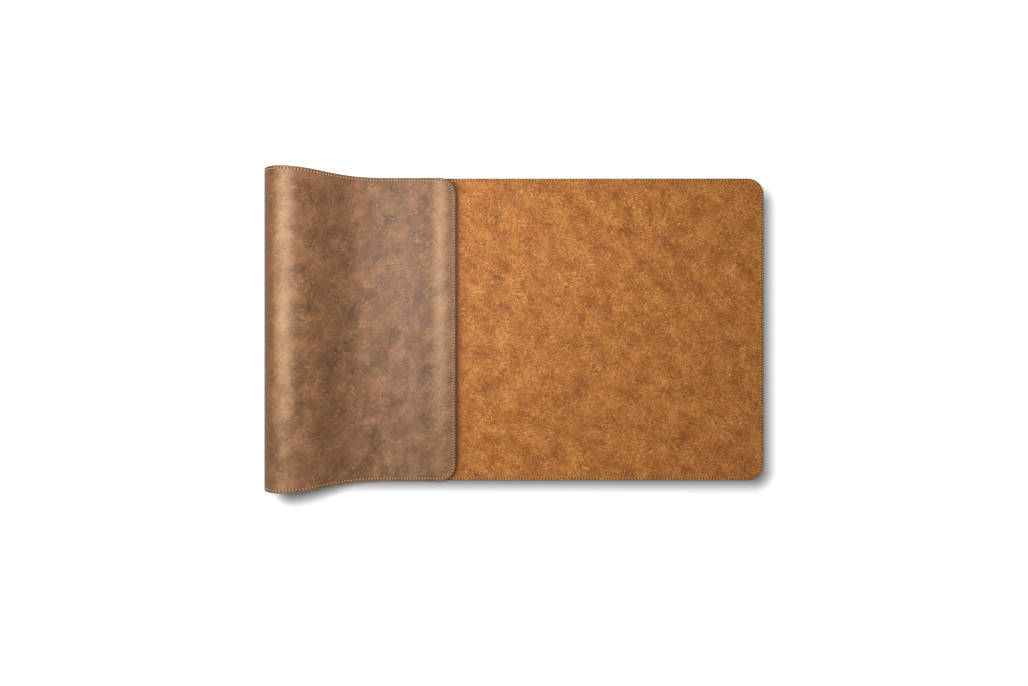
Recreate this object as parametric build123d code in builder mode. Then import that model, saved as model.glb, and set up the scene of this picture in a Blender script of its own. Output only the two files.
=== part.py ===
"""Leather desk pad with its left end turned over onto the writing side.

The pad is one long sheet of two leathers, glued back to back and sewn together all round.
+X runs along the pad to its flat right end, +Y is the far edge and +Z is up. The origin lies under
the middle of the pad as it stands, with the left end turned over.

The sheet leaves the table at the lift-off line, goes round the nose of the fold and over its crest,
comes down a slope and lands on the pad, face side down. Each bend follows half a sine wave: it is
gentle at both ends and tightest half way, as a springy sheet bends. The bend is cut across into
narrow strips, which hinge on each other, so that the pad can be unrolled flat.
"""
import os
from dataclasses import dataclass
from math import acos, cos, degrees, pi, radians, sin

from build123d import *

# The sheet, in millimetres
pad_length = 1160.0  # unrolled, along the middle of the thickness
pad_width = 500.0
face_thickness = 1.5
back_thickness = 1.5
corner_radius = 26.0
edge_bevel = 0.4

# The seam that runs round the whole pad
seam_inset = 4.2  # from the pad's edge to the middle of the stitch line
thread_width = 0.9
groove_depth = 0.5
needle_thread_stand = 0.1  # how far the face side's thread stands out of its groove
lay_clearance = 0.3  # between the two threads that lie over each other under the flap

# The fold, with angles in degrees
bend_length = 204.0  # of sheet from the lift-off line, over the nose and crest, to the slope
slope_angle = 48.0  # how steeply the sheet comes down behind the crest
flap_length = 112.0  # of sheet that lies flat on the pad
bend_arcs = 15
landing_arcs = 3
strip_gap = 0.3

thickness = face_thickness + back_thickness
flap_face_height = thickness + 2 * needle_thread_stand + lay_clearance


@dataclass(frozen=True)
class Arc:
    """A round stretch of the sheet's middle line, seen from the front with X right and Z up."""

    centre: Vector
    radius: float
    start: float
    sweep: float

    def radius_at(self, depth: float) -> float:
        """The radius at a depth under the face side, which is inside the main bend."""
        out = depth - thickness / 2
        return self.radius + out if self.sweep < 0 else self.radius - out


def bend(point: Vector, heading: float, length: float, turn: float, count: int):
    """Lay a sheet in a half-sine bend of arcs that share the turn; turn is negative clockwise.

    Returns the arcs, the point where the bend ends and the heading there.
    """
    marks = [acos(1 - 2 * i / count) / pi for i in range(count + 1)]
    step = turn / count
    toward = 90 if step > 0 else -90  # from the heading to the arc's centre
    arcs = []
    for before, after in zip(marks, marks[1:]):
        radius = length * (after - before) / radians(abs(step))
        inward = radians(heading + toward)
        centre = point + Vector(cos(inward), sin(inward)) * radius
        arcs.append(Arc(centre, radius, heading - toward, step))
        heading += step
        outward = radians(heading - toward)
        point = centre + Vector(cos(outward), sin(outward)) * radius
    return arcs, point, heading


# The fold is laid out from a lift-off line at X = 0, then moved to its place
flap_middle_height = flap_face_height + thickness / 2
main_turn = -(180 + slope_angle)
trial, slope_start, _ = bend(Vector(0, thickness / 2), 180, bend_length, main_turn, bend_arcs)
_, unit_landing, _ = bend(Vector(0, 0), -slope_angle, 1, slope_angle, landing_arcs)
landing_length = (slope_start.Y - flap_middle_height) / -unit_landing.Y

base_length = pad_length - bend_length - landing_length - flap_length
nose = next(arc for arc in trial if arc.start + arc.sweep <= 180)
fold_reach = nose.radius_at(thickness) - nose.centre.X

lift_off_x = (fold_reach - base_length) / 2
base_end_x = lift_off_x + base_length
lift_off = Vector(lift_off_x, thickness / 2)
main_bend, slope_start, heading = bend(lift_off, 180, bend_length, main_turn, bend_arcs)
landing, touch_down, _ = bend(slope_start, heading, landing_length, slope_angle, landing_arcs)
flap_end_x = touch_down.X + flap_length

# One strip spans the slope, where the sheet starts to bend the other way
strips = [[arc] for arc in main_bend[:-1]]
strips.append([main_bend[-1], landing[0]])
strips += [[arc] for arc in landing[1:]]

seam_lines = [Plane.XZ.offset(side * (pad_width / 2 - seam_inset)) for side in (1, -1)]


def strip_profile(strip: list[Arc], near: float, far: float) -> None:
    """Draw a strip's section between two depths under its face side."""
    for arc in strip:
        way = 1 if arc.sweep > 0 else -1
        trim = way * degrees(strip_gap / 2 / arc.radius)
        first = trim if arc is strip[0] else 0
        last = trim if arc is strip[-1] else 0
        start, sweep = arc.start + first, arc.sweep - first - last
        with BuildLine() as outline:
            near_side = CenterArc(arc.centre, arc.radius_at(near), start, sweep)
            far_side = CenterArc(arc.centre, arc.radius_at(far), start, sweep)
            Line(near_side @ 0, far_side @ 0)
            Line(near_side @ 1, far_side @ 1)
        make_face(outline.edges())


def panel_outline(start: float, end: float, inset: float, mode: Mode = Mode.ADD) -> None:
    """Draw a flat panel, square at start, rounded at its free end and inset from its free edges."""
    side = pad_width / 2 - inset
    tip = end - inset
    corners = [(start, -side), (tip, -side), (tip, side), (start, side)]
    with BuildLine() as outline:
        FilletPolyline(*corners, radius=corner_radius - inset)
        Line(corners[-1], corners[0])
    make_face(outline.edges(), mode=mode)


def save(piece: Part, name: str) -> None:
    """Name a finished piece and write it."""
    piece.label = name
    export_step(piece, f"parts/{name}.step")


def flat_panel(where: str, start: float, end: float, face_height: float, up: int) -> None:
    """Make a flat panel's leathers and threads; up is 1 with the face side on top, else -1."""
    back_height = face_height - up * thickness
    seam_edges = (seam_inset - thread_width / 2, seam_inset + thread_width / 2)
    layers = {
        "face_leather": (face_height, face_thickness, up),
        "back_leather": (back_height, back_thickness, -up),
    }
    for leather, (height, depth, out) in layers.items():
        with BuildPart() as layer:
            with BuildSketch(Plane.XY.offset(height)):
                panel_outline(start, end, 0)
            extrude(amount=-out * depth)
            rim = layer.edges().filter_by(lambda edge: abs(edge.center().Z - height) < 0.01)
            chamfer(rim.sort_by(Axis.X)[1:], edge_bevel)
            with BuildSketch(Plane.XY.offset(height)):
                panel_outline(start, end, seam_edges[0])
                panel_outline(start, end, seam_edges[1], Mode.SUBTRACT)
            extrude(amount=-out * groove_depth, mode=Mode.SUBTRACT)
        save(layer.part, f"{leather}_{where}")

    threads = {
        "needle_thread": (face_height + up * needle_thread_stand, needle_thread_stand, up),
        "bobbin_thread": (back_height, 0, -up),
    }
    for name, (height, stand, out) in threads.items():
        with BuildPart() as thread:
            with BuildSketch(Plane.XY.offset(height)):
                panel_outline(start, end, seam_edges[0])
                panel_outline(start, end, seam_edges[1], Mode.SUBTRACT)
            extrude(amount=-out * (groove_depth + stand))
        save(thread.part, f"{name}_{where}")


def bend_strip(number: int, strip: list[Arc]) -> None:
    """Make one strip of the bend: its two leathers and the four lengths of thread on them."""
    layers = {
        "face_leather": (0, face_thickness, groove_depth),
        "back_leather": (thickness, face_thickness, thickness - groove_depth),
    }
    for leather, (surface, glue_line, groove_floor) in layers.items():
        with BuildPart() as layer:
            with BuildSketch(Plane.XZ):
                strip_profile(strip, surface, glue_line)
            extrude(amount=pad_width / 2, both=True)
            radii = [arc.radius_at(surface) for arc in strip]
            arcs = layer.edges().filter_by(GeomType.CIRCLE)
            rim = arcs.filter_by(lambda edge: min(abs(edge.radius - r) for r in radii) < 0.01)
            chamfer(rim, edge_bevel)
            with BuildSketch(*seam_lines):
                strip_profile(strip, surface, groove_floor)
            extrude(amount=thread_width / 2, both=True, mode=Mode.SUBTRACT)
        save(layer.part, f"{leather}_bend_{number:02d}")

    with BuildPart() as threads:
        with BuildSketch(*seam_lines):
            strip_profile(strip, -needle_thread_stand, groove_depth)
            strip_profile(strip, thickness - groove_depth, thickness)
        extrude(amount=thread_width / 2, both=True)
    save(threads.part, f"seam_thread_bend_{number:02d}")


os.makedirs("parts", exist_ok=True)
flat_panel("main", lift_off_x + strip_gap / 2, base_end_x, thickness, 1)
flat_panel("flap", touch_down.X + strip_gap / 2, flap_end_x, flap_face_height, -1)
for number, strip in enumerate(strips, start=1):
    bend_strip(number, strip)

top = next(arc for arc in main_bend if arc.start + arc.sweep <= 90)
crest = top.centre.Y + top.radius_at(thickness)
print(f"pad {pad_length:.0f} x {pad_width:.0f} x {thickness:.1f} mm, "
      f"{base_end_x + fold_reach - lift_off_x:.1f} long and {crest:.1f} high as folded")
print(f"landing {landing_length:.2f}, base {base_length:.2f}, lift-off {lift_off_x:.3f}, "
      f"touch-down {touch_down.X:.3f}, flap end {flap_end_x:.3f}")
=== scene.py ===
"""Leather desk pad, seen from straight above with its left end turned over onto the writing side.

Two leathers lie glued back to back and are sewn together all round. Everything is laid out in the
sheet's own coordinates, in metres: how far along the sheet, counted from the line where it leaves
the table, how far across, and how deep under the face side. The same coordinates carry the grain
of the leathers, so that it follows the sheet round the fold.
"""

import logging
from dataclasses import dataclass
from enum import Enum
from math import acos, ceil, cos, hypot, pi, radians, sin
from typing import Callable

import bpy
import numpy as np
from mathutils import Matrix, Vector


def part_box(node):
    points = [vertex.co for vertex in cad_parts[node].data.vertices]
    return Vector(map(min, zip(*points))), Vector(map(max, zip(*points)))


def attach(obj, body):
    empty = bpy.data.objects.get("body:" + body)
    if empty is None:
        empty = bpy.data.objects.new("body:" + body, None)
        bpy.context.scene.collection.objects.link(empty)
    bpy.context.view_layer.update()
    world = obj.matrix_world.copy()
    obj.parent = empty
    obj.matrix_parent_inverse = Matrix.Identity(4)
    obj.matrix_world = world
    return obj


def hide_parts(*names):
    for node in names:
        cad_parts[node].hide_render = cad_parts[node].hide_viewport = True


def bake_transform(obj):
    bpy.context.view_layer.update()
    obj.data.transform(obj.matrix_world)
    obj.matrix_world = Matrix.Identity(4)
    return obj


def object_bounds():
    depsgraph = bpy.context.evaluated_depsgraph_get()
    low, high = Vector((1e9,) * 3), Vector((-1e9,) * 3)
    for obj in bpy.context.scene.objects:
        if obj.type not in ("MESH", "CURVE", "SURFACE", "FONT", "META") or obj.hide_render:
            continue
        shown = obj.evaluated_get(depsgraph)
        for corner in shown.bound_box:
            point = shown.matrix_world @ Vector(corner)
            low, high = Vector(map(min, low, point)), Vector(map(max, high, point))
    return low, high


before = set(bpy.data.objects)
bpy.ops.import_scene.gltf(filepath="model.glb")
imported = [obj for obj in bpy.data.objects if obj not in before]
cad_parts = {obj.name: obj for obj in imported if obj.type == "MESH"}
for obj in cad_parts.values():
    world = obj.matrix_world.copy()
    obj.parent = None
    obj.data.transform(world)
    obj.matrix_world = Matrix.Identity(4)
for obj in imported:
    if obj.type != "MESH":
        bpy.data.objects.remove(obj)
cad_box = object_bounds()
log = logging.getLogger("desk_pad")

IMAGE_WIDTH = 1028
SHEET_ATTRIBUTE = "sheet"
NEAR = 1e-6  # how near two places are to count as one

Pair = tuple[float, float]
Triple = tuple[float, float, float]
Colour = Triple
Socket = bpy.types.NodeSocket


def deselect() -> None:
    """Leave nothing selected."""
    bpy.ops.object.select_all(action="DESELECT")


def take(piece: bpy.types.Object) -> None:
    """Select one object alone and make it the active one.

    Args:
        piece: The object that the next operators work on.
    """
    deselect()
    piece.select_set(True)
    bpy.context.view_layer.objects.active = piece


def copy_of(piece: bpy.types.Object, name: str) -> bpy.types.Object:
    """Copy an object with a mesh of its own.

    Args:
        piece: The object to copy.
        name: What the copy is called.

    Returns:
        The copy, active and selected.
    """
    take(piece)
    bpy.ops.object.duplicate()
    copy = bpy.context.object
    copy.name = copy.data.name = name
    return copy


def edit(piece: bpy.types.Object, wanted: Callable[[bpy.types.MeshPolygon], bool]) -> None:
    """Enter edit mode with some faces selected.

    Args:
        piece: The object to edit.
        wanted: Says of a face whether it is selected.
    """
    take(piece)
    bpy.ops.object.mode_set(mode="EDIT")
    bpy.ops.mesh.select_mode(type="FACE")
    bpy.ops.mesh.select_all(action="DESELECT")
    bpy.ops.object.mode_set(mode="OBJECT")
    for face in piece.data.polygons:
        face.select = wanted(face)
    bpy.ops.object.mode_set(mode="EDIT")


def edit_points(piece: bpy.types.Object, wanted: Callable[[Vector], bool]) -> None:
    """Enter edit mode with some vertices selected.

    Args:
        piece: The object to edit.
        wanted: Says of a vertex, by its place, whether it is selected.
    """
    take(piece)
    bpy.ops.object.mode_set(mode="EDIT")
    bpy.ops.mesh.select_mode(type="VERT")
    bpy.ops.mesh.select_all(action="DESELECT")
    bpy.ops.object.mode_set(mode="OBJECT")
    for vertex in piece.data.vertices:
        vertex.select = wanted(vertex.co)
    bpy.ops.object.mode_set(mode="EDIT")


def leave() -> None:
    """Go back to object mode."""
    bpy.ops.object.mode_set(mode="OBJECT")


def face_outwards() -> None:
    """Turn every face of the mesh in edit mode outwards."""
    bpy.ops.mesh.select_all(action="SELECT")
    bpy.ops.mesh.normals_make_consistent(inside=False)


class Layer(Enum):
    """One of the two leathers."""

    FACE = "face_leather"
    BACK = "back_leather"


class Region(Enum):
    """A kind of surface on a leather, each with its own material slot."""

    SKIN = 0
    CHANNEL = 1
    EDGE = 2


@dataclass(frozen=True)
class Arc:
    """A round stretch of the sheet's middle line, in the plane of X and Z, with angles in degrees."""

    centre: Vector
    radius: float
    start: float
    sweep: float
    begin: float

    @property
    def length(self) -> float:
        """How long the arc is along the middle line."""
        return self.radius * radians(abs(self.sweep))

    @property
    def end(self) -> float:
        """How far along the sheet the arc ends."""
        return self.begin + self.length

    def angle(self, along: float) -> float:
        """The angle round the centre of a point along the sheet."""
        return self.start + self.sweep * (along - self.begin) / self.length

    def heading(self, along: float) -> float:
        """Which way the sheet runs at a point along it."""
        return self.angle(along) + (90 if self.sweep > 0 else -90)

    def place(self, along: float, deep: float) -> Vector:
        """Find a point of the sheet in the plane of X and Z.

        Args:
            along: How far along the sheet.
            deep: How far from the middle line to the back side.

        Returns:
            The point, as X and Z.
        """
        angle = radians(self.angle(along))
        radius = self.radius - deep if self.sweep > 0 else self.radius + deep
        return self.centre + Vector((cos(angle), sin(angle))) * radius


@dataclass(frozen=True)
class Pad:
    """The pad's driving sizes, which are those of the part, and the soft rise of the flap's end."""

    length: float = 1.160
    width: float = 0.500
    leather: float = 0.0015
    corner_radius: float = 0.026
    seam_inset: float = 0.0042
    thread_stand: float = 0.0001
    lay_clearance: float = 0.0003
    strip_gap: float = 0.0003
    bend_length: float = 0.204
    slope_angle: float = 48.0
    flap_length: float = 0.112
    bend_arcs: int = 15
    landing_arcs: int = 3
    hump_height: float = 0.0022
    hump_start: float = 0.052  # how far past the line where the flap touches down
    hump_top: float = 0.087

    @property
    def thickness(self) -> float:
        """Both leathers together."""
        return 2 * self.leather

    @property
    def flap_face_height(self) -> float:
        """How high the flap's face side lies over the table."""
        return self.thickness + 2 * self.thread_stand + self.lay_clearance

    @property
    def crest(self) -> float:
        """How far along the sheet the fold's crest is, where the sheet has turned right over."""
        return self.bend_length * acos(1 - 2 * 180 / (180 + self.slope_angle)) / pi

    def hump(self, past: float) -> float:
        """How far the flap stands up near its free end.

        Args:
            past: How far a point lies past the line where the flap touches down.

        Returns:
            The rise over the flat flap.
        """
        if past <= self.hump_start:
            return 0.0
        if past < self.hump_top:
            share = (past - self.hump_start) / (self.hump_top - self.hump_start)
        else:
            share = max(0.0, (self.flap_length - past) / (self.flap_length - self.hump_top))
        return self.hump_height * (1 - cos(pi * share)) / 2


@dataclass(frozen=True)
class Flat:
    """One of the sheet's two flat stretches, which both run from the bend to the right."""

    name: str
    body: str
    start: float  # the X where it meets the bend
    low: float  # how far along the sheet it starts
    high: float  # how far along it ends
    up: int  # 1 where the face side is on top, else -1
    face_height: float

    @property
    def length(self) -> float:
        """How long the stretch is."""
        return self.high - self.low

    @property
    def end(self) -> float:
        """The X of its free end."""
        return self.start + self.length


@dataclass(frozen=True)
class Hinge:
    """One length of the bend, which turns from one body to the next, by places along the sheet."""

    before: str
    after: str
    low: float  # where the length starts
    high: float  # where it ends
    start: float  # where it starts to turn from the one body to the other
    end: float  # where it has turned


class SheetLine:
    """The sheet's course from its flat right end, round the fold, to the end of the flap."""

    def __init__(self, pad: Pad) -> None:
        """Lay out the course of a pad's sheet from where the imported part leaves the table.

        Args:
            pad: The pad's sizes.
        """
        self.pad = pad
        self.lift_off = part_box(f"{Layer.FACE.value}_main")[0][0] - pad.strip_gap / 2
        start = Vector((self.lift_off, pad.thickness / 2))
        turn = -(180 + pad.slope_angle)
        main, slope, heading = self.bend(start, 180, pad.bend_length, turn, pad.bend_arcs, 0)
        _, unit, _ = self.bend(Vector((0, 0)), -pad.slope_angle, 1, pad.slope_angle,
                               pad.landing_arcs, 0)
        drop = slope.y - pad.flap_face_height - pad.thickness / 2
        landing, touch_down, _ = self.bend(slope, heading, drop / -unit.y, pad.slope_angle,
                                           pad.landing_arcs, pad.bend_length)
        self.arcs = main + landing
        self.touch_down = touch_down.x
        self.end = self.arcs[-1].end
        self.base_length = pad.length - self.end - pad.flap_length

    @staticmethod
    def bend(point: Vector, heading: float, length: float, turn: float, count: int,
             begin: float) -> tuple[list[Arc], Vector, float]:
        """Lay a sheet in a half-sine bend of arcs that share its turn.

        Args:
            point: Where the bend starts, as X and Z.
            heading: Which way the sheet runs there.
            length: The length of sheet in the bend.
            turn: How far it turns, negative clockwise.
            count: The number of arcs.
            begin: How far along the sheet the bend starts.

        Returns:
            The arcs, the point where the bend ends and the heading there.
        """
        marks = [acos(1 - 2 * i / count) / pi for i in range(count + 1)]
        step = turn / count
        side = 90 if step > 0 else -90
        arcs = []
        for before, after in zip(marks, marks[1:]):
            radius = length * (after - before) / radians(abs(step))
            inward = radians(heading + side)
            centre = point + Vector((cos(inward), sin(inward))) * radius
            arcs.append(Arc(centre, radius, heading - side, step, begin + length * before))
            heading += step
            outward = radians(heading - side)
            point = centre + Vector((cos(outward), sin(outward))) * radius
        return arcs, point, heading

    def arc_at(self, along: float) -> Arc:
        """The arc that holds a point along the sheet."""
        return next((arc for arc in self.arcs if along <= arc.end), self.arcs[-1])

    def middle(self, number: int) -> float:
        """How far along the sheet the middle of an arc lies, with the arcs counted from 1."""
        arc = self.arcs[number - 1]
        return arc.begin + arc.length / 2

    def place(self, along: float, across: float, depth: float) -> Vector:
        """Find a point of the sheet in space.

        Args:
            along: How far along the sheet.
            across: How far across, which is Y.
            depth: How deep under the face side.

        Returns:
            The point in the row frame.
        """
        pad = self.pad
        if along <= 0:
            return Vector((self.lift_off - along, across, pad.thickness - depth))
        if along >= self.end:
            past = along - self.end
            height = pad.flap_face_height + depth + pad.hump(past)
            return Vector((self.touch_down + past, across, height))
        spot = self.arc_at(along).place(along, depth - pad.thickness / 2)
        return Vector((spot.x, across, spot.y))

    def unroll(self, point: Vector, low: float, high: float) -> Triple:
        """Find a point's own coordinates on the sheet.

        Args:
            point: A point in the row frame.
            low: The least that the point may lie along the sheet.
            high: The most that it may lie along the sheet.

        Returns:
            How far along, how far across and how deep under the face side the point is.
        """
        pad = self.pad
        if high <= 0:
            return self.lift_off - point.x, point.y, pad.thickness - point.z
        if low >= self.end:
            past = point.x - self.touch_down
            return self.end + past, point.y, point.z - pad.flap_face_height - pad.hump(past)
        found = []
        for arc in self.arcs:
            if arc.end <= low or arc.begin >= high:
                continue
            ray = Vector((point.x, point.z)) - arc.centre
            turned = np.degrees(np.arctan2(ray.y, ray.x)) - arc.start
            share = ((turned + 180) % 360 - 180) / arc.sweep
            rise = ray.length - arc.radius
            depth = pad.thickness / 2 + (rise if arc.sweep < 0 else -rise)
            found.append((max(-share, share - 1, 0), arc.begin + share * arc.length, depth))
        _, along, depth = min(found)
        return along, point.y, depth

    def edge_distance(self, along: float, across: float) -> float:
        """Measure how far a point lies inside the pad's outline.

        Args:
            along: How far along the sheet the point lies.
            across: How far across.

        Returns:
            The distance to the nearest edge.
        """
        pad = self.pad
        centre = (self.end + pad.flap_length - self.base_length) / 2
        over_x = abs(along - centre) - pad.length / 2 + pad.corner_radius
        over_y = abs(across) - pad.width / 2 + pad.corner_radius
        outside = hypot(max(over_x, 0), max(over_y, 0))
        return pad.corner_radius - outside - min(max(over_x, over_y), 0)

    def flats(self) -> list[Flat]:
        """Lay out the sheet's flat stretches.

        Returns:
            The main panel and the flap.
        """
        pad = self.pad
        return [
            Flat("main", body="base", start=self.lift_off, low=-self.base_length, high=0.0, up=1,
                 face_height=pad.thickness),
            Flat("flap", body="flap", start=self.touch_down, low=self.end,
                 high=self.end + pad.flap_length, up=-1, face_height=pad.flap_face_height),
        ]

    def hinges(self) -> list[Hinge]:
        """Divide the bend, with one length for each hinge of the part.

        Returns:
            The lengths, in their order along the sheet.
        """
        arcs = self.pad.bend_arcs
        last = len(self.arcs) - 1
        names = ["base"] + [f"bend_{number:02d}" for number in range(1, last + 1)] + ["flap"]
        middles = [self.middle(number) for number in range(1, len(self.arcs) + 1)]
        turns = [(0.0, middles[0])]
        turns += list(zip(middles[:arcs - 1], middles[1:arcs]))
        turns += list(zip(middles[arcs:-1], middles[arcs + 1:]))
        turns.append((middles[-1], self.end))
        cuts = [0.0] + [start for start, _ in turns[1:]] + [self.end]
        return [Hinge(*names[i:i + 2], *cuts[i:i + 2], *turns[i]) for i in range(len(turns))]


class Nodes:
    """Lays out the nodes of a material or of the room."""

    def __init__(self, tree: bpy.types.NodeTree) -> None:
        """Take the tree that the nodes go into."""
        self.tree = tree

    def add(self, kind: str, inputs: dict | None = None, **settings) -> bpy.types.Node:
        """Add a node.

        Args:
            kind: The node's type.
            inputs: Values or other nodes' sockets for its inputs, by name or number.
            **settings: The node's own settings.

        Returns:
            The node.
        """
        node = self.tree.nodes.new(kind)
        for name, value in settings.items():
            setattr(node, name, value)
        for name, value in (inputs or {}).items():
            if isinstance(value, Socket):
                self.tree.links.new(value, node.inputs[name])
            else:
                node.inputs[name].default_value = value
        return node

    def math(self, operation: str, first: Socket | float, second: Socket | float = 0.0) -> Socket:
        """Combine two numbers."""
        return self.add("ShaderNodeMath", {0: first, 1: second}, operation=operation).outputs[0]

    def vector(self, operation: str, first: Socket, second: Socket | Triple = (0, 0, 0)) -> Socket:
        """Combine two vectors."""
        return self.add("ShaderNodeVectorMath", {0: first, 1: second}, operation=operation).outputs[0]

    def length(self, vector: Socket) -> Socket:
        """Measure a vector."""
        return self.add("ShaderNodeVectorMath", {0: vector}, operation="LENGTH").outputs["Value"]

    def apart(self, vector: Socket) -> list[Socket]:
        """Take a vector's three parts."""
        return list(self.add("ShaderNodeSeparateXYZ", {0: vector}).outputs)

    def noise(self, vector: Socket, scale: float = 1.0, detail: float = 2.0,
              roughness: float = 0.5) -> bpy.types.Node:
        """Add a noise with about as many features as its scale in each unit of the coordinates."""
        inputs = {"Vector": vector, "Scale": scale, "Detail": detail, "Roughness": roughness}
        return self.add("ShaderNodeTexNoise", inputs)

    def rims(self, vector: Socket, size: float) -> Socket:
        """Measure how far a point lies from the rim of its cell, in cells of a size."""
        inputs = {"Vector": vector, "Scale": 1 / size}
        return self.add("ShaderNodeTexVoronoi", inputs, feature="DISTANCE_TO_EDGE").outputs[0]

    def spread(self, value: Socket, low: float, high: float, start: float = 0.0,
               end: float = 1.0, smooth: bool = True) -> Socket:
        """Map a number from one range to another, clamped.

        Args:
            value: The number.
            low: Where the first range starts.
            high: Where the first range ends.
            start: What becomes of its start.
            end: What becomes of its end.
            smooth: Whether the change eases in and out.

        Returns:
            The mapped number.
        """
        inputs = {0: value, 1: low, 2: high, 3: start, 4: end}
        kind = "SMOOTHSTEP" if smooth else "LINEAR"
        return self.add("ShaderNodeMapRange", inputs, interpolation_type=kind).outputs[0]

    def ramp(self, value: Socket, stops: list[tuple[float, Colour]]) -> Socket:
        """Turn a number into a colour by a row of stops.

        Args:
            value: The number.
            stops: Places from 0 to 1 and their colours.

        Returns:
            The colour.
        """
        node = self.add("ShaderNodeValToRGB", {0: value})
        elements = node.color_ramp.elements
        while len(elements) < len(stops):
            elements.new(0.5)
        for element, (position, colour) in zip(elements, stops):
            element.position = position
            element.color = (*colour, 1)
        return node.outputs[0]

    def mix(self, share: Socket | float, first: Socket | Colour, second: Socket | Colour,
            blend: str = "MIX") -> Socket:
        """Mix two colours.

        Args:
            share: How much the second counts.
            first: The first colour.
            second: The second colour.
            blend: How the two are blended.

        Returns:
            The mixed colour.
        """
        first = first if isinstance(first, Socket) else (*first, 1)
        second = second if isinstance(second, Socket) else (*second, 1)
        inputs = {0: share, 6: first, 7: second}
        return self.add("ShaderNodeMix", inputs, data_type="RGBA", blend_type=blend).outputs[2]

    def warp(self, vector: Socket, scale: float, reach: float) -> Socket:
        """Push coordinates about by a noise.

        Args:
            vector: The coordinates.
            scale: The scale of the noise, in features a metre.
            reach: How far the noise's whole range pushes, in metres.

        Returns:
            The pushed coordinates.
        """
        clouds = self.noise(vector, scale, roughness=0.55).outputs["Color"]
        push = self.vector("SUBTRACT", clouds, (0.5, 0.5, 0.5))
        return self.vector("ADD", vector, self.vector("MULTIPLY", push, (reach, reach, reach)))

    def steps(self, vector: Socket, turn: float, size: Triple) -> Socket:
        """Count coordinates in steps of a size along each axis, turned about the sheet's normal."""
        inputs = {"Vector": vector, "Rotation": (0, 0, radians(turn)), "Scale": size}
        return self.add("ShaderNodeMapping", inputs, vector_type="TEXTURE").outputs[0]

    def openness(self, reach: float) -> Socket:
        """How open the surface lies, from 1 where nothing is within reach down to 0 in a gap."""
        return self.add("ShaderNodeAmbientOcclusion", {"Distance": reach}, samples=16).outputs["AO"]

    def bump(self, height: Socket, distance: float) -> Socket:
        """Turn a height from 0 to 1 into a normal."""
        return self.add("ShaderNodeBump", {"Height": height, "Distance": distance}).outputs[0]

    def looked_at(self) -> Socket:
        """Tell the camera's rays, and those that glossy or clear things send, from the light's.

        Returns:
            1 for such a ray and 0 for the others.
        """
        path = self.add("ShaderNodeLightPath").outputs
        seen = self.math("MAXIMUM", path["Is Glossy Ray"], path["Is Transmission Ray"])
        return self.math("MAXIMUM", seen, path["Is Camera Ray"])


class Shader(Nodes):
    """Lays out one material's nodes."""

    def __init__(self, name: str) -> None:
        """Start a material with a plain Principled surface.

        Args:
            name: What the material is called.
        """
        self.material = bpy.data.materials.new(name)
        self.material.use_nodes = True
        super().__init__(self.material.node_tree)
        self.surface = self.tree.nodes["Principled BSDF"]

    def set(self, **inputs) -> None:
        """Set or link the surface's inputs.

        Args:
            **inputs: The values or sockets, each named with underscores for its spaces.
        """
        for name, value in inputs.items():
            socket = self.surface.inputs[name.replace("_", " ")]
            if isinstance(value, Socket):
                self.tree.links.new(value, socket)
            else:
                socket.default_value = value

    def sheet(self) -> Socket:
        """The coordinates on the sheet."""
        return self.add("ShaderNodeAttribute", attribute_name=SHEET_ATTRIBUTE).outputs["Vector"]


@dataclass(frozen=True)
class Band:
    """A band across the sheet whose colour paints a highlight, a sheen or a shade, fading out on both
    sides.
    """

    colour: Colour
    along: float
    half_width: float
    share: float
    fade: float = 0.0  # how much of it is lost toward the near edge


@dataclass(frozen=True)
class Marks:
    """Marks drawn out in three directions, each where a cloud of its own lets it show."""

    turns: Triple  # how far each direction is turned from the lie of the leather
    size: Triple  # the length, width and depth of what their noise is made of
    clouds: float  # the scale of the clouds
    shown: Pair  # where in a cloud the marks begin to show, and where they show in full
    detail: float
    roughness: float

    def lay(self, shader: Shader, flow: Socket, lie: float) -> list[tuple[Socket, Socket]]:
        """Lay out the marks.

        Args:
            shader: The material's shader.
            flow: The coordinates on the sheet, gently warped.
            lie: How far the leather's lie is turned.

        Returns:
            For each direction a noise that is drawn out along it, and how much of it shows.
        """
        laid = []
        clouds = shader.apart(shader.noise(flow, self.clouds).outputs["Color"])
        for cloud, turn in zip(clouds, self.turns):
            drawn = shader.steps(flow, lie + turn, self.size)
            noise = shader.noise(drawn, detail=self.detail, roughness=self.roughness)
            laid.append((noise.outputs[0], shader.spread(cloud, *self.shown)))
        return laid


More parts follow.
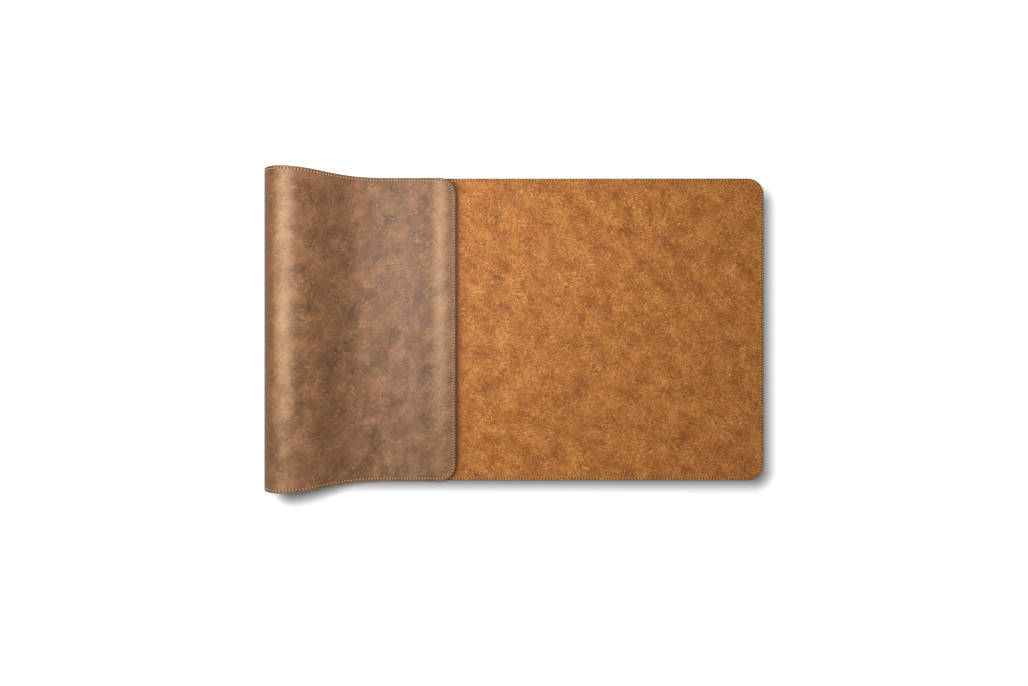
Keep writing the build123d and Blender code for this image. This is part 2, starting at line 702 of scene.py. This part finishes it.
@dataclass(frozen=True)
class Hide:
    """A pull-up leather: cloudy wax, pebbled grain, fine creases, and painted light and shade, in
    metres.
    """

    name: str
    tones: tuple[Colour, ...]  # from the thickest wax to the thinnest
    bare: Colour  # of the creases, where no wax is left
    patch: Triple  # the size of a cloud of the wax, along its lie and across it
    lie: float  # how far the clouds and the nap are turned
    contrast: float  # how much of the wax's range the tones span
    pebble: float  # the width of one pebble of the grain
    valley: float  # how dark the grain is between its pebbles
    nap: float  # how much the tone of the single fibres differs
    creased: float  # how pale the creases are
    relief: float
    sheen: Pair  # roughness where the wax is thin and where it is thick
    gloss: float
    painted_shade: Colour  # the colour of the painted shade laid where something lies close over the leather, as beside the flap's end
    bands: tuple[Band, ...] = ()
    fading: Pair = (-0.20, -0.02)  # where across the sheet a band fades
    loose: Pair = (60, 0.010)  # the scale and reach of the warp of the wax's clouds
    flow: Pair = (15, 0.022)  # those of the warp of the strokes and creases
    ragged: Pair = (300, 0.0015)  # those of the warp of the pebbles
    wax_range: Pair = (0.4, 0.6)  # where in its noise the wax counts as thick and as thin
    band_share: Pair = (0.75, 1.2)  # how much of a band thick wax and thin wax show
    strokes: Marks = Marks(turns=(0, 60, -60), size=(0.0075, 0.0014, 0.0014), clouds=30,
                           shown=(0.40, 0.56), detail=2, roughness=0.6)
    stroke_range: float = 0.2  # how far the strokes' noise goes from its middle
    hairs: Marks = Marks(turns=(10, 75, -45), size=(0.0240, 0.0060, 0.0060), clouds=38,
                         shown=(0.46, 0.60), detail=1, roughness=0.5)
    hair_width: Pair = (0.003, 0.026)  # how far from its noise's middle a hair is palest, and ends
    valley_width: float = 0.2  # of the valley between two pebbles, in their widths
    pore_scale: float = 1900
    pore_height: float = 0.4  # against that of a pebble
    hem: float = 0.02  # how near something must lie to hem the leather in
    hem_openness: float = 0.90  # at which the hemmed leather is darkest
    hem_share: float = 0.9  # of the painted shade's colour there

    def make(self) -> bpy.types.Material:
        """Make the material.

        Returns:
            The leather.
        """
        shader = Shader(self.name)
        sheet = shader.sheet()
        clouds = shader.steps(shader.warp(sheet, *self.loose), self.lie, self.patch)
        wax = shader.noise(clouds, detail=6, roughness=0.7).outputs[0]
        span = len(self.tones) - 1
        low = 0.5 - self.contrast / 2
        stops = [(low + self.contrast * place / span, tone) for place, tone in enumerate(self.tones)]
        flow = shader.warp(sheet, *self.flow)
        colour = self.crease(shader, flow, shader.ramp(wax, stops))
        colour = self.paint_bands(shader, sheet, wax, colour)
        rims = shader.rims(shader.warp(sheet, *self.ragged), self.pebble)
        pebbles = shader.spread(rims, 0, self.valley_width)
        grain = shader.spread(pebbles, 0, 1, self.valley, 1, smooth=False)
        shade = shader.math("MULTIPLY", self.fibres(shader, flow), grain)
        colour = shader.mix(1.0, colour, shade, "MULTIPLY")
        # Painted shade: the leather darkens toward the painted shade's colour where something lies
        # close over it, as beside the flap's end.
        openness = shader.openness(self.hem)
        hemmed = shader.spread(openness, self.hem_openness, 1, self.hem_share, 0, smooth=False)
        colour = shader.mix(hemmed, colour, self.painted_shade)
        pores = shader.noise(sheet, self.pore_scale, detail=3, roughness=0.6).outputs[0]
        height = shader.math("ADD", pebbles, shader.math("MULTIPLY", pores, self.pore_height))
        thin, thick = self.sheen
        shader.set(Base_Color=colour, Normal=shader.bump(height, self.relief),
                   Roughness=shader.spread(wax, *self.wax_range, thick, thin, smooth=False),
                   Specular_IOR_Level=self.gloss)
        return shader.material

    def paint_bands(self, shader: Shader, sheet: Socket, wax: Socket, colour: Socket) -> Socket:
        """Paint the bands of highlight, sheen and shade into a colour, more where the wax is thin.

        Args:
            shader: The material's shader.
            sheet: The coordinates on the sheet.
            wax: How thin the wax is.
            colour: The colour so far.

        Returns:
            The colour with the bands.
        """
        along, across, _ = shader.apart(sheet)
        thin = shader.spread(wax, *self.wax_range, *self.band_share)
        for band in self.bands:
            away = shader.math("ABSOLUTE", shader.math("SUBTRACT", along, band.along))
            share = shader.spread(away, 0, 2 * band.half_width, band.share, 0.0)
            left = shader.spread(across, *self.fading, 1 - band.fade, 1)
            share = shader.math("MULTIPLY", share, shader.math("MULTIPLY", thin, left))
            colour = shader.mix(share, colour, band.colour)
        return colour

    def fibres(self, shader: Shader, flow: Socket) -> Socket:
        """Lighten and darken the nap by strokes that cross in three directions.

        Args:
            shader: The material's shader.
            flow: The coordinates on the sheet, gently warped.

        Returns:
            What the colour is multiplied by.
        """
        total = 0.0
        for noise, shown in self.strokes.lay(shader, flow, self.lie):
            stroke = shader.math("MULTIPLY", shader.math("SUBTRACT", noise, 0.5), shown)
            total = shader.math("ADD", stroke, total)
        reach = self.stroke_range
        return shader.spread(total, -reach, reach, 1 - self.nap, 1 + self.nap, smooth=False)

    def crease(self, shader: Shader, flow: Socket, colour: Socket) -> Socket:
        """Draw fine, pale creases like hairs, which cross in three directions.

        Args:
            shader: The material's shader.
            flow: The coordinates on the sheet, gently warped.
            colour: The colour so far.

        Returns:
            The colour with the creases.
        """
        for noise, shown in self.hairs.lay(shader, flow, self.lie):
            near = shader.math("ABSOLUTE", shader.math("SUBTRACT", noise, 0.5))
            hair = shader.spread(near, *self.hair_width, self.creased, 0)
            colour = shader.mix(shader.math("MULTIPLY", hair, shown), colour, self.bare)
        return colour


@dataclass(frozen=True)
class Stain:
    """A dark stain on leather: the pressed stitch channel, whose dark colour also paints the shade in
    its groove, and the edge paint.
    """

    name: str
    colour: Colour
    roughness: float
    cloud_scale: float = 700
    lighter: float = 1.7  # how much lighter the palest spots are
    relief: float = 0.0001

    def make(self) -> bpy.types.Material:
        """Make the material.

        Returns:
            The stain.
        """
        shader = Shader(self.name)
        cloud = shader.noise(shader.sheet(), self.cloud_scale, detail=3, roughness=0.6).outputs[0]
        light = tuple(part * self.lighter for part in self.colour)
        shader.set(Base_Color=shader.mix(cloud, self.colour, light), Roughness=self.roughness,
                   Normal=shader.bump(cloud, self.relief), Specular_IOR_Level=0.3)
        return shader.material


@dataclass(frozen=True)
class ThreadFinish:
    """Waxed thread with painted shade between its plies: golden on the face side and beige on the
    back.
    """

    needle: tuple[Colour, Colour] = ((0.66, 0.31, 0.08), (0.96, 0.54, 0.18))
    bobbin: tuple[Colour, Colour] = ((0.48, 0.28, 0.13), (0.90, 0.60, 0.33))
    middle: float = 0.0015  # how deep under the face side the two threads lock
    ply: Triple = (0.0012, 0.00035, 0.0012)  # the length and width of a stretch of one ply
    lay: float = 35.0  # how far the plies are turned from the seam
    gap: Pair = (0.35, 0.55)  # where in its noise a ply is darkest and palest
    relief: float = 0.00008

    def make(self) -> bpy.types.Material:
        """Make the material.

        Returns:
            The thread.
        """
        shader = Shader("seam_thread")
        sheet = shader.sheet()
        twist = shader.noise(shader.steps(sheet, self.lay, self.ply)).outputs[0]
        # The plies turn darker toward the painted shade between them.
        pale = shader.spread(twist, *self.gap)
        behind = shader.math("GREATER_THAN", shader.apart(sheet)[2], self.middle)
        colour = shader.mix(behind, shader.mix(pale, *self.needle), shader.mix(pale, *self.bobbin))
        shader.set(Base_Color=colour, Roughness=0.55, Specular_IOR_Level=0.2,
                   Normal=shader.bump(twist, self.relief))
        return shader.material


@dataclass(frozen=True)
class Dress:
    """The materials of the pad."""

    face: bpy.types.Material
    back: bpy.types.Material
    channel: bpy.types.Material
    edge: bpy.types.Material
    thread: bpy.types.Material


@dataclass
class Leathers:
    """Builds both leathers: flat panels by inset and bevel, and the bend's lengths by spinning."""

    line: SheetLine
    dress: Dress
    rim: float = 0.0005
    rim_steps: int = 3
    paint_width: float = 0.0011  # how far the edge paint reaches onto the leather
    glue_rim: float = 0.00012
    corner_steps: int = 16
    channel_width: float = 0.0021
    channel_slope: float = 0.00025
    channel_depth: float = 0.0005
    margin: float = 0.00005  # how far inside the paint or the channel a face's middle lies at least
    spare: float = 0.04  # how much longer a panel is made than it is then cut
    cut_spacing: float = 0.0495
    cuts_aside: int = 4  # on each side of the one along the middle
    hump_spacing: float = 0.004
    spin_step: float = 0.8  # in degrees
    smooth_angle: float = 35.0

    def panel(self, flat: Flat, layer: Layer) -> bpy.types.Object:
        """Make one flat leather, open to the bend at its left and rounded at its right.

        Args:
            flat: The stretch of the sheet.
            layer: Which leather it is.

        Returns:
            The panel.
        """
        pad = self.line.pad
        start, glue = flat.start, flat.face_height - flat.up * pad.leather
        surface = flat.face_height - (flat.up * pad.thickness if layer is Layer.BACK else 0)
        reach = flat.length + self.spare
        bpy.ops.mesh.primitive_plane_add(size=pad.width, location=(flat.end - reach / 2, 0, glue))
        piece = bpy.context.object
        piece.name = piece.data.name = f"{flat.name}_{layer.value}"
        edit(piece, lambda face: True)
        bpy.ops.transform.resize(value=(reach / pad.width, 1, 1))
        leave()
        bpy.ops.object.transform_apply(location=True, rotation=True, scale=True)
        edit_points(piece, lambda place: place.x > start)
        bpy.ops.mesh.bevel(offset=pad.corner_radius, segments=self.corner_steps, affect="VERTICES")
        leave()
        edit(piece, lambda face: True)
        rise = {"value": (0, 0, surface - glue)}
        bpy.ops.mesh.extrude_region_move(TRANSFORM_OT_translate=rise)
        face_outwards()
        leave()
        edit(piece, lambda face: abs(face.center.z - glue) < NEAR)
        bpy.ops.mesh.bevel(offset=self.glue_rim, segments=1, affect="EDGES")
        leave()
        edit(piece, lambda face: abs(face.center.z - surface) < NEAR)
        bpy.ops.mesh.bevel(offset=self.rim, segments=self.rim_steps, affect="EDGES")
        leave()
        edit(piece, lambda face: abs(face.center.z - surface) < NEAR)
        bpy.ops.mesh.inset(thickness=self.paint_width - self.rim)
        bpy.ops.mesh.inset(thickness=pad.seam_inset - self.channel_width / 2 - self.paint_width)
        bpy.ops.mesh.inset(thickness=self.channel_slope, depth=-self.channel_depth)
        bpy.ops.mesh.inset(thickness=self.channel_width - 2 * self.channel_slope)
        bpy.ops.mesh.inset(thickness=self.channel_slope, depth=self.channel_depth)
        bpy.ops.mesh.select_all(action="SELECT")
        bpy.ops.mesh.bisect(plane_co=(start, 0, 0), plane_no=(1, 0, 0), use_fill=True,
                            clear_inner=True)
        self.divide(flat)
        face_outwards()
        leave()
        return piece

    def divide(self, flat: Flat) -> None:
        """Divide a panel in edit mode by cuts, close together where the flap's end rises.

        Args:
            flat: The stretch of the sheet.
        """
        pad = self.line.pad
        if flat.name == "flap":
            first, last, spacing = pad.hump_start, flat.length - 2 * self.rim, self.hump_spacing
        else:
            first, last, spacing = self.cut_spacing, flat.length - pad.corner_radius, self.cut_spacing
        for place in np.arange(flat.start + first, flat.start + last, spacing):
            bpy.ops.mesh.select_all(action="SELECT")
            bpy.ops.mesh.bisect(plane_co=(place, 0, 0), plane_no=(1, 0, 0))
        for place in np.arange(-self.cuts_aside, self.cuts_aside + 1) * self.cut_spacing:
            bpy.ops.mesh.select_all(action="SELECT")
            bpy.ops.mesh.bisect(plane_co=(0, place, 0), plane_no=(0, 1, 0))

    def section(self, panel: bpy.types.Object) -> bpy.types.Object:
        """Take the cut face where a main leather meets the bend, as the section to spin.

        Args:
            panel: The main leather.

        Returns:
            The section.
        """
        section = copy_of(panel, f"{panel.name}_section")
        edit(section, lambda face: abs(face.center.x - self.line.lift_off) > NEAR)
        bpy.ops.mesh.delete(type="FACE")
        leave()
        return section

    def bend(self, name: str, section: bpy.types.Object, low: float, high: float) -> bpy.types.Object:
        """Spin a leather's section round the bend from one place along the sheet to another.

        Args:
            name: What the piece is called.
            section: The section, as it stands where the bend starts.
            low: How far along the sheet the piece starts.
            high: How far along it ends.

        Returns:
            The piece.
        """
        line = self.line
        piece = copy_of(section, name)
        first = line.arc_at(low + NEAR)
        origin = Vector((line.lift_off, 0, line.pad.thickness / 2))
        place = first.place(low, 0)
        turn = Matrix.Rotation(-radians(first.heading(low) - 180), 4, "Y")
        shift = Matrix.Translation((place.x, 0, place.y))
        piece.data.transform(shift @ turn @ Matrix.Translation(-origin))
        edit(piece, lambda face: True)
        for arc in line.arcs:
            begin, end = max(low, arc.begin), min(high, arc.end)
            if end - begin < NEAR:
                continue
            sweep = arc.sweep * (end - begin) / arc.length
            bpy.ops.mesh.spin(steps=ceil(abs(sweep) / self.spin_step), angle=radians(sweep),
                              center=(arc.centre.x, 0, arc.centre.y), axis=(0, 1, 0))
        face_outwards()
        leave()
        return piece

    def finish(self, piece: bpy.types.Object, layer: Layer, low: float, high: float) -> None:
        """Give a leather its coordinates, materials and smooth shading.

        Args:
            piece: The leather.
            layer: Which leather it is.
            low: How far along the sheet it starts.
            high: How far along it ends.
        """
        line = self.line
        mesh = piece.data
        spots = [line.unroll(vertex.co, low, high) for vertex in mesh.vertices]
        attribute = mesh.attributes.new(SHEET_ATTRIBUTE, "FLOAT_VECTOR", "POINT")
        attribute.data.foreach_set("vector", np.array(spots, np.float32).ravel())
        skin = self.dress.face if layer is Layer.FACE else self.dress.back
        for material in (skin, self.dress.channel, self.dress.edge):
            mesh.materials.append(material)
        thickness = line.pad.thickness
        for face in mesh.polygons:
            along, across, depth = np.mean([spots[i] for i in face.vertices], axis=0)
            under = depth if layer is Layer.FACE else thickness - depth
            region = Region.SKIN
            if line.edge_distance(along, across) < self.paint_width - self.margin:
                region = Region.EDGE
            elif self.margin < under < line.pad.leather / 2:
                region = Region.CHANNEL
            face.material_index = region.value
        take(piece)
        bpy.ops.object.shade_smooth_by_angle(angle=radians(self.smooth_angle))


@dataclass
class Stitching:
    """Builds the stitches of both sides from one modelled stitch."""

    line: SheetLine
    material: bpy.types.Material
    pitch: float = 0.00485
    length: float = 0.0030
    width: float = 0.0016
    height: float = 0.0010
    sides: int = 8
    rings: int = 6
    taper: float = 0.45  # how much slimmer a stitch is at its ends
    dip: float = 0.0004
    stand: float = 0.00018
    smooth_angle: float = 60.0

    def stitch(self) -> bpy.types.Object:
        """Model one stitch along X, with its ends dipping into their needle holes.

        Returns:
            The stitch, with its top at the height that it stands over the leather.
        """
        bpy.ops.mesh.primitive_cylinder_add(vertices=self.sides, radius=self.width / 2,
                                            depth=self.length, rotation=(0, pi / 2, 0))
        piece = bpy.context.object
        bpy.ops.object.transform_apply(location=True, rotation=True, scale=True)
        edit(piece, lambda face: True)
        for ring in range(1, self.rings):
            bpy.ops.mesh.select_all(action="SELECT")
            place = self.length * (ring / self.rings - 0.5)
            bpy.ops.mesh.bisect(plane_co=(place, 0, 0), plane_no=(1, 0, 0))
        bpy.ops.mesh.select_all(action="SELECT")
        bpy.ops.transform.resize(value=(1, 1, self.height / self.width))
        leave()
        for vertex in piece.data.vertices:
            reach = abs(vertex.co.x) / (self.length / 2)
            slim = 1 - self.taper * reach ** 3
            vertex.co.y *= slim
            vertex.co.z = vertex.co.z * slim - self.dip * reach ** 3 + self.stand - self.height / 2
        return piece

    def spots(self) -> list[Triple]:
        """Space the stitches evenly round the whole pad.

        Returns:
            Each stitch's place along and across the sheet, and which way it runs there.
        """
        line, pad = self.line, self.line.pad
        low = pad.seam_inset - line.base_length
        high = line.end + pad.flap_length - pad.seam_inset
        side = pad.width / 2 - pad.seam_inset
        radius = pad.corner_radius - pad.seam_inset
        runs = [high - low - 2 * radius, 2 * side - 2 * radius] * 2
        quarter = pi / 2 * radius
        total = sum(runs) + 4 * quarter
        count = round(total / self.pitch)
        corners = [(low, -side), (high, -side), (high, side), (low, side)]
        spots = []
        for number in range(count):
            left = (number + 0.5) * total / count
            for index, run in enumerate(runs):
                heading = index * pi / 2
                ahead = Vector((cos(heading), sin(heading)))
                inward = Vector((-ahead.y, ahead.x))
                start = Vector(corners[index]) + ahead * radius
                if left <= run:
                    spot = start + ahead * left
                    spots.append((spot.x, spot.y, heading))
                    break
                left -= run
                if left <= quarter:
                    turned = left / radius
                    centre = start + ahead * run + inward * radius
                    spot = centre - inward * radius * cos(turned) + ahead * radius * sin(turned)
                    spots.append((spot.x, spot.y, heading + turned))
                    break
                left -= quarter
        return spots

    def sew(self, name: str, stitch: bpy.types.Object, spots: list[Triple],
            layers: tuple[Layer, ...]) -> bpy.types.Object:
        """Lay copies of the stitch along the seam, in one piece.

        Args:
            name: What the piece is called.
            stitch: The modelled stitch.
            spots: Where the stitches are, as spots() gives them.
            layers: The leathers that they show on.

        Returns:
            The piece.
        """
        local = [vertex.co.copy() for vertex in stitch.data.vertices]
        faces = [list(face.vertices) for face in stitch.data.polygons]
        places, sheet, polygons = [], [], []
        for layer in layers:
            for along, across, heading in spots:
                base = len(places)
                for point in local:
                    ahead = along + point.x * cos(heading) - point.y * sin(heading)
                    aside = across + point.x * sin(heading) + point.y * cos(heading)
                    depth = -point.z if layer is Layer.FACE else self.line.pad.thickness + point.z
                    places.append(self.line.place(ahead, aside, depth))
                    sheet.append((ahead, aside, depth))
                polygons += [[base + i for i in face] for face in faces]
        mesh = bpy.data.meshes.new(name)
        mesh.from_pydata(places, [], polygons)
        attribute = mesh.attributes.new(SHEET_ATTRIBUTE, "FLOAT_VECTOR", "POINT")
        attribute.data.foreach_set("vector", np.array(sheet, np.float32).ravel())
        mesh.materials.append(self.material)
        piece = bpy.data.objects.new(name, mesh)
        bpy.context.collection.objects.link(piece)
        edit(piece, lambda face: True)
        face_outwards()
        leave()
        bpy.ops.object.shade_smooth_by_angle(angle=radians(self.smooth_angle))
        return piece


@dataclass
class DeskPad:
    """Puts the pad together: its flat panels, the lengths of its bend and its seam."""

    line: SheetLine
    leathers: Leathers
    stitching: Stitching
    shortest_cut: float = 0.01  # the least length of a sheet's stretch

    def flat(self) -> dict[Layer, bpy.types.Object]:
        """Build the main panel's and the flap's leathers.

        Returns:
            The sections of the main panel's leathers where they meet the bend.
        """
        pad = self.line.pad
        corners = (2 - pi / 2) * pad.corner_radius ** 2
        sections = {}
        for flat in self.line.flats():
            area = pad.width * flat.length - corners
            for layer in Layer:
                piece = self.leathers.panel(flat, layer)
                if flat.name == "main":
                    sections[layer] = self.leathers.section(piece)
                else:
                    for vertex in piece.data.vertices:
                        vertex.co.z += pad.hump(vertex.co.x - flat.start)
                self.leathers.finish(piece, layer, flat.low, flat.high)
                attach(piece, flat.body)
                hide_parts(f"{layer.value}_{flat.name}")
                flat.length
                log.info("%s: %d faces on %s", piece.name, len(piece.data.polygons), flat.body)
        return sections

    def fold(self, sections: dict[Layer, bpy.types.Object]) -> None:
        """Build the bend's lengths of both leathers, one for each hinge of the part.

        Args:
            sections: The leathers' sections, which are used up.
        """
        width, hinges = self.line.pad.width, self.line.hinges()
        for number, hinge in enumerate(hinges, start=1):
            for layer, section in sections.items():
                name = f"fold_{number:02d}_{layer.value}"
                piece = self.leathers.bend(name, section, hinge.low, hinge.high)
                self.leathers.finish(piece, layer, hinge.low, hinge.high)
                self.hang(piece, hinge)
                if number < len(hinges):
                    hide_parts(f"{layer.value}_{hinge.after}")
        for section in sections.values():
            bpy.data.objects.remove(section)
        log.info("fold: %d lengths of each leather", len(hinges))

    def hang(self, piece: bpy.types.Object, hinge: Hinge) -> None:
        """Bake a piece's transform into its mesh.

        Args:
            piece: The piece.
            hinge: The length of the bend that it covers.
        """
        half = self.line.pad.thickness / 2
        self.line.place(hinge.start + NEAR, 0, half)
        self.line.place(hinge.end - NEAR, 0, half)
        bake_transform(piece)

    def seam(self) -> None:
        """Build all the stitches."""
        stitch = self.stitching.stitch()
        spots = self.stitching.spots()
        threads = {"needle": Layer.FACE, "bobbin": Layer.BACK}
        ends = {
            "main": ("base", [spot for spot in spots if spot[0] <= 0]),
            "flap": ("flap", [spot for spot in spots if spot[0] > self.line.end]),
        }
        for where, (body, sewn) in ends.items():
            for thread, layer in threads.items():
                piece = self.stitching.sew(f"{where}_{thread}_stitches", stitch, sewn, (layer,))
                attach(piece, body)
                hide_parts(f"{thread}_thread_{where}")
                log.info("%s: %d stitches on %s", piece.name, len(sewn), body)
        hinges = self.line.hinges()
        for number, hinge in enumerate(hinges, start=1):
            sewn = [spot for spot in spots if hinge.low < spot[0] <= hinge.high]
            piece = self.stitching.sew(f"fold_{number:02d}_stitches", stitch, sewn, tuple(Layer))
            self.hang(piece, hinge)
            if number < len(hinges):
                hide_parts(f"seam_thread_{hinge.after}")
        bpy.data.objects.remove(stitch)
        log.info("seam: %d stitches a side", len(spots))


@dataclass(frozen=True)
class Studio:
    """The floor, the lights and the camera."""

    centre_x: float = -0.0106
    eye_height: float = 0.9293
    pad_pixels: float = 302.0  # the pad's width in the picture
    centre_pixels_up: float = 13.6  # how far above the picture's middle the pad's is
    sensor: float = 36.0
    nearest: float = 0.01  # that the camera sees
    world_strength: float = 0.20
    key_place: Triple = (-0.30, 0.22, 1.05)
    key_size: float = 0.5
    key_power: float = 12.6
    floor_size: float = 8.0
    floor_drop: float = 0.0003  # how far the floor lies under the pad
    floor_white: Colour = (0.9, 0.9, 0.9)
    glow_reach: Pair = (0.1, 1.2)  # how far from under the key the floor glows least and most
    glow: Pair = (0.15, 0.75)  # its glow there, which keeps it white where the key's light falls off
    # The shade and fold settings below place a painted shade on the floor beside the pad.
    shade_shift: float = 0.0140  # how far to the right of the pad, and nearer, the shade lies
    shade_corner: float = 0.030
    shade_blur: float = 0.0175
    shade_level: float = 0.18
    fold_shade: Pair = (-0.395, -0.275)  # the X where the fold's shade starts to narrow and ends
    fold_reach: float = 0.2  # how near the fold must be to hem the floor in
    fold_openness: Pair = (0.90, 0.985)  # of the floor, where that shade is whole and where it ends

    def camera(self, pad: Pad) -> None:
        """Set the camera over the pad, as the photograph's was.

        Args:
            pad: The pad's sizes.
        """
        data = bpy.data.cameras.new("camera")
        eye = bpy.data.objects.new("camera", data)
        bpy.context.collection.objects.link(eye)
        eye.location = (self.centre_x, 0, self.eye_height)
        field = IMAGE_WIDTH * pad.width / self.pad_pixels
        data.sensor_width = self.sensor
        data.lens = self.sensor * (self.eye_height - pad.thickness) / field
        data.shift_y = -self.centre_pixels_up / IMAGE_WIDTH
        data.clip_start = self.nearest
        bpy.context.scene.camera = eye

    def key_light(self) -> None:
        """Hang one soft light straight over the fold."""
        data = bpy.data.lights.new("key", "AREA")
        data.shape, data.size, data.energy = "SQUARE", self.key_size, self.key_power
        lamp = bpy.data.objects.new("key", data)
        bpy.context.collection.objects.link(lamp)
        lamp.location = self.key_place

    def world(self) -> None:
        """Fill the room with plain light, and show it white to the camera."""
        world = bpy.data.worlds.new("room")
        world.use_nodes = True
        bpy.context.scene.world = world
        nodes = Nodes(world.node_tree)
        strength = nodes.spread(nodes.looked_at(), 0, 1, self.world_strength, 1, smooth=False)
        background = world.node_tree.nodes["Background"]
        background.inputs["Color"].default_value = (1, 1, 1, 1)
        world.node_tree.links.new(strength, background.inputs["Strength"])

    def shade(self, shader: Shader, spot: Socket) -> Socket:
        """Paint a soft shade into the floor's colour along the right and the near side of the folded
        pad.

        The shade has the pad's rounded outline, as the camera sees it, moved a little to the right
        and nearer. Beside the fold, which looks wider because it stands higher, it comes nearer yet.

        Args:
            shader: The floor's shader.
            spot: The place on the floor.

        Returns:
            How light the floor is, up to 1 away from the pad.
        """
        (left, near, _), (right, far, top) = cad_box
        left += (left - self.centre_x) * top / 2 / (self.eye_height - top / 2)
        middle = ((left + right) / 2 + self.shade_shift, (near + far) / 2 - self.shade_shift, 0)
        corner, blur = self.shade_corner, self.shade_blur
        half = ((right - left) / 2 - corner, (far - near) / 2 - corner, self.floor_size)
        bulge = far * top / (self.eye_height - top)
        hemmed = shader.spread(shader.openness(self.fold_reach), *self.fold_openness, 1, 0)
        beside = shader.spread(shader.apart(spot)[0], *self.fold_shade, bulge, 0)
        lean = shader.add("ShaderNodeCombineXYZ", {1: shader.math("MULTIPLY", beside, hemmed)})
        place = shader.vector("ADD", spot, lean.outputs[0])
        over = shader.vector("ABSOLUTE", shader.vector("SUBTRACT", place, middle))
        over = shader.vector("MAXIMUM", shader.vector("SUBTRACT", over, half))
        return shader.spread(shader.length(over), corner - blur, corner + blur, self.shade_level, 1)

    def floor(self) -> None:
        """Lay a white floor that keeps the pad's shadow, and a soft painted shade beside the pad."""
        bpy.ops.mesh.primitive_plane_add(size=self.floor_size, location=(0, 0, -self.floor_drop))
        floor = bpy.context.object
        floor.name = "floor"
        shader = Shader("floor")
        spot = shader.add("ShaderNodeTexCoord").outputs["Object"]
        shade = self.shade(shader, spot)
        away = shader.length(shader.vector("SUBTRACT", spot, (*self.key_place[:2], 0)))
        glow = shader.spread(away, *self.glow_reach, *self.glow, smooth=False)
        glow = shader.math("MULTIPLY", shader.looked_at(), shader.math("MULTIPLY", glow, shade))
        shader.set(Base_Color=shader.mix(shade, (0, 0, 0), self.floor_white), Roughness=0.9,
                   Specular_IOR_Level=0.1, Emission_Color=(1, 1, 1, 1), Emission_Strength=glow)
        floor.data.materials.append(shader.material)


def make_dress(line: SheetLine) -> Dress:
    """Make the pad's materials.

    Args:
        line: The sheet's course, along which the bands of painted highlight, sheen and shade lie.

    Returns:
        The materials.
    """
    pad = line.pad
    cognac = Hide(
        name=Layer.FACE.value,
        tones=((0.380, 0.118, 0.023), (0.492, 0.163, 0.031), (0.600, 0.215, 0.044),
               (0.707, 0.279, 0.066)),
        bare=(0.860, 0.420, 0.130), patch=(0.037, 0.026, 0.026), lie=40, contrast=0.31,
        pebble=0.0025, valley=0.56, nap=0.38, creased=0.60, relief=0.00022, sheen=(0.50, 0.45),
        # Next come the gloss and the colour of the painted shade where something lies close over this
        # leather.
        gloss=0.18, painted_shade=(0.090, 0.026, 0.006))
    # The tan of the painted highlights on the fold's crest and on the rise near the flap's end.
    highlight_colour = (0.540, 0.320, 0.165)
    # Painted shade, deep orange-brown, on the fold's nose, which faces away from the lamp.
    nose = Band(colour=(0.150, 0.052, 0.006), along=pad.crest - 0.043, half_width=0.020, share=0.95)
    # A painted highlight along the fold's crest, partly the paler pull-up leather of the bend; it
    # fades toward the near edge as the lamp's light does.
    crest = Band(colour=highlight_colour, along=pad.crest + 0.004, half_width=0.010, share=0.75, fade=0.50)
    # Painted shade on the fold's slope, which faces away from the lamp.
    slope = Band(colour=(0.045, 0.020, 0.010), along=pad.bend_length + 0.018, half_width=0.030,
                 share=0.23)
    # A faint painted sheen on the flat of the flap, as of the overhead lamp's reflection.
    flap = Band(colour=(0.620, 0.440, 0.340), along=line.end + 0.035, half_width=0.035, share=0.08)
    # A painted highlight on the rise near the flap's end, fading toward the near edge as the lamp's
    # light does.
    rise = Band(colour=highlight_colour, along=line.end + pad.hump_top, half_width=0.009, share=0.70, fade=0.75)
    brown = Hide(
        name=Layer.BACK.value,
        tones=((0.125, 0.054, 0.022), (0.205, 0.094, 0.042), (0.290, 0.134, 0.062),
               (0.400, 0.190, 0.090)),
        bare=(0.520, 0.300, 0.150), patch=(0.036, 0.028, 0.028), lie=55, contrast=0.37,
        pebble=0.0015, valley=0.78, nap=0.20, creased=0.45, relief=0.00008, sheen=(0.50, 0.42),
        # Next come the gloss, the colour of the painted shade where something lies close over this
        # leather, and the bands of painted light and shade.
        gloss=0.22, painted_shade=(0.050, 0.020, 0.008), bands=(nose, crest, slope, flap, rise))
    return Dress(
        face=cognac.make(),
        back=brown.make(),
        # The stitch channel's dark colour is partly pressed leather and partly painted shade in the
        # groove.
        channel=Stain("stitch_channel", (0.035, 0.011, 0.003), roughness=0.6).make(),
        edge=Stain("edge_paint", (0.145, 0.068, 0.026), roughness=0.5).make(),
        thread=ThreadFinish().make(),
    )


def main() -> None:
    """Build the pad and its studio."""
    pad = Pad()
    line = SheetLine(pad)
    dress = make_dress(line)
    deselect()
    desk_pad = DeskPad(line, Leathers(line, dress), Stitching(line, dress.thread))
    desk_pad.fold(desk_pad.flat())
    desk_pad.seam()
    studio = Studio()
    studio.floor()
    studio.world()
    studio.key_light()
    studio.camera(pad)
    bpy.context.scene.view_settings.view_transform = "Standard"
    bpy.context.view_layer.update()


if __name__ == "__main__":
    logging.basicConfig(level=logging.INFO, format="%(name)s: %(message)s")
    main()
